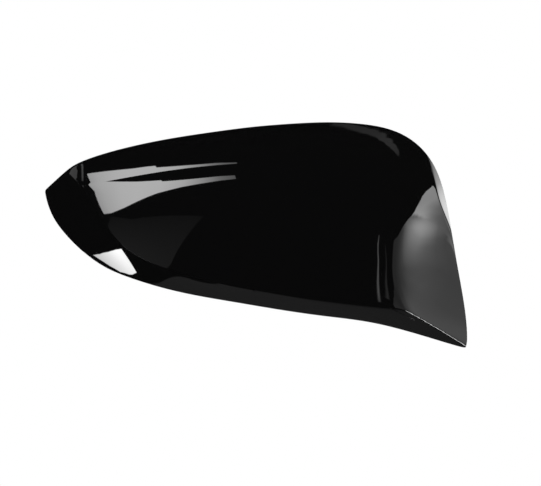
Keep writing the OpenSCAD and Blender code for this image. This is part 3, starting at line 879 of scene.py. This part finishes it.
# Wide side card: columns of an azimuth and (elevation, level) down it
SIDE = [
    (14.9, (-12.4, 0.3), (-13, 0.35), (-14, 0.4), (-16, 0.4), (-18, 0.4), (-20, 0.4)),
    (18.6, (-8.8, 0.3), (-10, 0.35), (-12, 0.4), (-14, 0.4), (-17, 0.4), (-20, 0.4)),
    (28, (-3.7, 0.25), (-5, 0.3), (-7, 0.35), (-10, 0.4), (-14, 0.4), (-18, 0.4)),
    (43, (1.2, 0.25), (0, 0.3), (-3, 0.35), (-6, 0.4), (-10, 0.4), (-16, 0.4)),
    (50, (4.5, 0.3), (2, 0.35), (0, 0.4), (-3, 0.4), (-6, 0.4), (-10, 0.4)),
    (54, (7, 0.2), (5, 0.3), (3, 0.4), (0, 0.4), (-4, 0.4), (-8, 0.4)),
    (58, (9.5, 0.2), (7, 0.3), (4, 0.35), (1, 0.35), (-3, 0.4), (-8, 0.4)),
    (66, (11, 0.3), (8, 0.35), (5, 0.35), (2, 0.35), (-2, 0.4), (-8, 0.4)),
    (80, (14, 0.6), (11, 0.5), (8, 0.4), (4, 0.35), (0, 0.35), (-8, 0.4)),
    (92, (28, 0.9), (16, 0.8), (12, 0.5), (7, 0.4), (1, 0.4), (-8, 0.5)),
    (107, (28, 1), (17, 0.8), (12, 0.5), (6, 0.4), (1, 0.45), (-8, 0.6)),
    (117, (28, 1.4), (19, 1.3), (14, 0.9), (8, 0.55), (3, 0.5), (-8, 0.8)),
    (122, (28, 0.7), (19, 0.8), (13, 1), (8, 0.95), (2, 0.65), (-8, 1)),
    (127, (28, 0.65), (18, 0.65), (13, 0.7), (8, 0.9), (4, 1.1), (-8, 1.3)),
    (129.5, (28, 0.65), (14, 0.65), (9.5, 0.8), (6, 1.05), (2, 1.4), (-8, 1.5)),
    (132, (28, 0.65), (10, 0.65), (7, 0.8), (4.2, 1.15), (1.5, 1.75), (-8, 2.1)),
    (134, (28, 0.6), (8, 0.6), (5.5, 0.85), (3.4, 1.5), (1, 2.2), (-8, 2.6)),
    (135.5, (28, 0.65), (7, 0.7), (4.5, 1.1), (3.3, 1.8), (1, 2.9), (-8, 3.1)),
    (137, (28, 0.7), (7, 0.75), (4.8, 1.05), (3.5, 2), (2, 3.3), (-8, 3.6)),
    (138.2, (28, 0.75), (8, 0.75), (5.6, 0.95), (4.4, 2), (3.3, 3.4), (-8, 3.5)),
    (139.5, (28, 0.85), (9, 0.85), (7.4, 1.1), (6.6, 2), (5.8, 3.2), (-8, 3.3)),
    (143.5, (28, 1.2), (20, 1.2), (15, 1.4), (13, 2.2), (11, 2.4), (-8, 3))]
card("card_side", list(zip(*[[(a, e, level) for e, level in column] for a, *column in SIDE])))
# Black flag in front of it, on the near wall, cutting its reflection off along the shoulder
FLAG = [(36, 20), (50, 20), (62, 18), (80, 15), (98, 15), (110, 17.5), (116, 19), (122, 22.5), (128, 27),
        (131.5, 34), (134, 41.5), (137, 50), (140, 59), (143, 66), (147.3, 73)]
FLAG_TOP = 260
card("card_flag", [[(a, FLAG_TOP, DARK_ROOM) for a, h in FLAG],
                   [(a, h, DARK_ROOM) for a, h in FLAG]], near=True)
# Upper part of the side card on the near wall, up to the flag and bright to the left of a leaning line:
# by height, the azimuth of the line and the levels on its two sides
SHOULDER_FOOT = 14
LEANING_LINE = (17, 21, 29, 38, 48, 60), (134.3, 135.2, 136.7, 138.8, 142.3, 148)
PAST_LEVEL, BRIGHT_LEVEL = ((17, 30, 50), (0.6, 0.85, 1.3)), ((20, 50), (3.4, 2.2))
LINE_BLUR = 0.8
# By azimuth, the height from which it fades in, over a height, and from its first azimuth, over an angle
FADE_FROM, FADE_HEIGHT, FADE_ANGLE = ((131, 133, 134, 135), (26, 22, 18.8, 16.2)), 5, 4
SHOULDER_START, SHOULDER_END, SHOULDER_STEP = 124, 147.5, 0.7


def shoulder_point(a, share):
    h = SHOULDER_FOOT + share * (np.interp(a, *zip(*FLAG)) - SHOULDER_FOOT)
    line, low, high = (np.interp(h, *by_height) for by_height in (LEANING_LINE, PAST_LEVEL, BRIGHT_LEVEL))
    cover = (np.clip((h - np.interp(a, *FADE_FROM)) / FADE_HEIGHT, 0, 1)
             * np.clip((a - SHOULDER_START) / FADE_ANGLE, 0, 1))
    return a, h, low + (high - low) / (1 + math.exp((a - line) / LINE_BLUR)), cover


azimuths = np.arange(SHOULDER_START, SHOULDER_END, SHOULDER_STEP)
card("card_shoulder", [[shoulder_point(a, share) for a in azimuths]
                       for share in (0, 0.06, 0.12, 0.3, 0.5, 0.75, 1)], near=True, fine=2)
# Edge light behind the outboard side, seen in the turned lip
card("card_lip", [
    [(151, 22, 0), (154, 22, 0), (160, 23, 0), (168, 24, 0)],
    [(151, 18, 0), (153, 17, 1.1), (160, 18, 1.2), (168, 20, 1.2)],
    [(151, 12, 0), (153, 12, 2.1), (160, 12, 2.3), (168, 12, 2.3)],
    [(151, 8, 0), (153, 8, 4.3), (160, 8, 5), (168, 8, 5)],
    [(151, -6, 0), (153, -6, 6), (160, -6, 6), (168, -6, 6)]])
# Thin arc of light over the outboard shoulder
card("card_arc", soft_rows([
    (-162.2, 19, -162.2, 18.5, 0.04), (-164.3, 22.2, -164.3, 21.6, 0.05),
    (-166.5, 24.8, -166.5, 24, 0.06), (-170.1, 27.7, -170.1, 26.9, 0.07), (-176, 31, -176, 30.1, 0.1),
    (-183.3, 32.9, -183.3, 31.9, 0.12), (-189, 33.2, -189, 32.2, 0.13),
    (-194, 32.7, -194, 31.9, 0.12), (-197.5, 32, -197.5, 31.7, 0.08)], feather=0.15))
# Dim low card, seen in the skirt, with a brighter part under the outboard side for the crease
card("card_low", [
    [(-180, -43, 0.07), (-165, -43, 0.07), (-144, -43, 0.07), (-120, -46, 0.1), (-90, -46, 0.05),
     (-30, -46, 0.05), (60, -46, 0.08), (110, -45, 0.08), (180, -43, 0.07)],
    [(-180, -65, 0.1), (-165, -66, 0.1), (-144, -88, 0.1), (-120, -88, 0.1), (-90, -88, 0.1),
     (-30, -88, 0.1), (60, -88, 0.1), (110, -65, 0.1), (180, -65, 0.1)]], fine=6)
CREASE_LEVEL = 16
card("card_crease", [[(a, e, CREASE_LEVEL * (a not in (60, 155))) for a in (60, 75, 115, 135, 155)]
                     for e in (-9, -42)])

# Pale floor, well below the cover, in metres
FLOOR_RADIUS, FLOOR_PLACE, FLOOR_SIDES = 1.6, (-0.06, 0.2, -0.35), 96


def pale_floor():
    m, nodes, links, shader = new_material("floor_pale")
    shader.inputs["Base Color"].default_value = (0.8, 0.8, 0.8, 1)
    add_roughness(nodes, links, shader, noise(nodes, links, 8, 3), 0.7, 0.85)
    return m


bm = bmesh.new()
bmesh.ops.create_circle(bm, cap_ends=True, segments=FLOOR_SIDES, radius=FLOOR_RADIUS)
mesh = bpy.data.meshes.new("floor")
bm.to_mesh(mesh)
bm.free()
mesh.materials.append(pale_floor())
floor = bpy.data.objects.new("floor", mesh)
floor.location = FLOOR_PLACE
floor.visible_glossy = False
bpy.context.collection.objects.link(floor)

# World: white behind the object, a plain level for diffuse light, a dark room in reflections
world = bpy.data.worlds.new("studio")
bpy.context.scene.world = world
world.use_nodes = True
nodes, links = world.node_tree.nodes, world.node_tree.links
nodes.clear()
path = nodes.new("ShaderNodeLightPath")
room = nodes.new("ShaderNodeMapRange")
room.inputs["To Min"].default_value = DIFFUSE_ROOM
room.inputs["To Max"].default_value = DARK_ROOM
links.new(path.outputs["Is Glossy Ray"], room.inputs["Value"])
level = nodes.new("ShaderNodeMix")
level.inputs[3].default_value = 1.0
links.new(path.outputs["Is Camera Ray"], level.inputs[0])
links.new(room.outputs["Result"], level.inputs[2])
back = nodes.new("ShaderNodeBackground")
back.inputs["Color"].default_value = (1, 1, 1, 1)
links.new(level.outputs[0], back.inputs["Strength"])
out = nodes.new("ShaderNodeOutputWorld")
links.new(back.outputs["Background"], out.inputs["Surface"])
world.cycles.sampling_method = "NONE"

view = bpy.context.scene.view_settings
view.view_transform = "Standard"
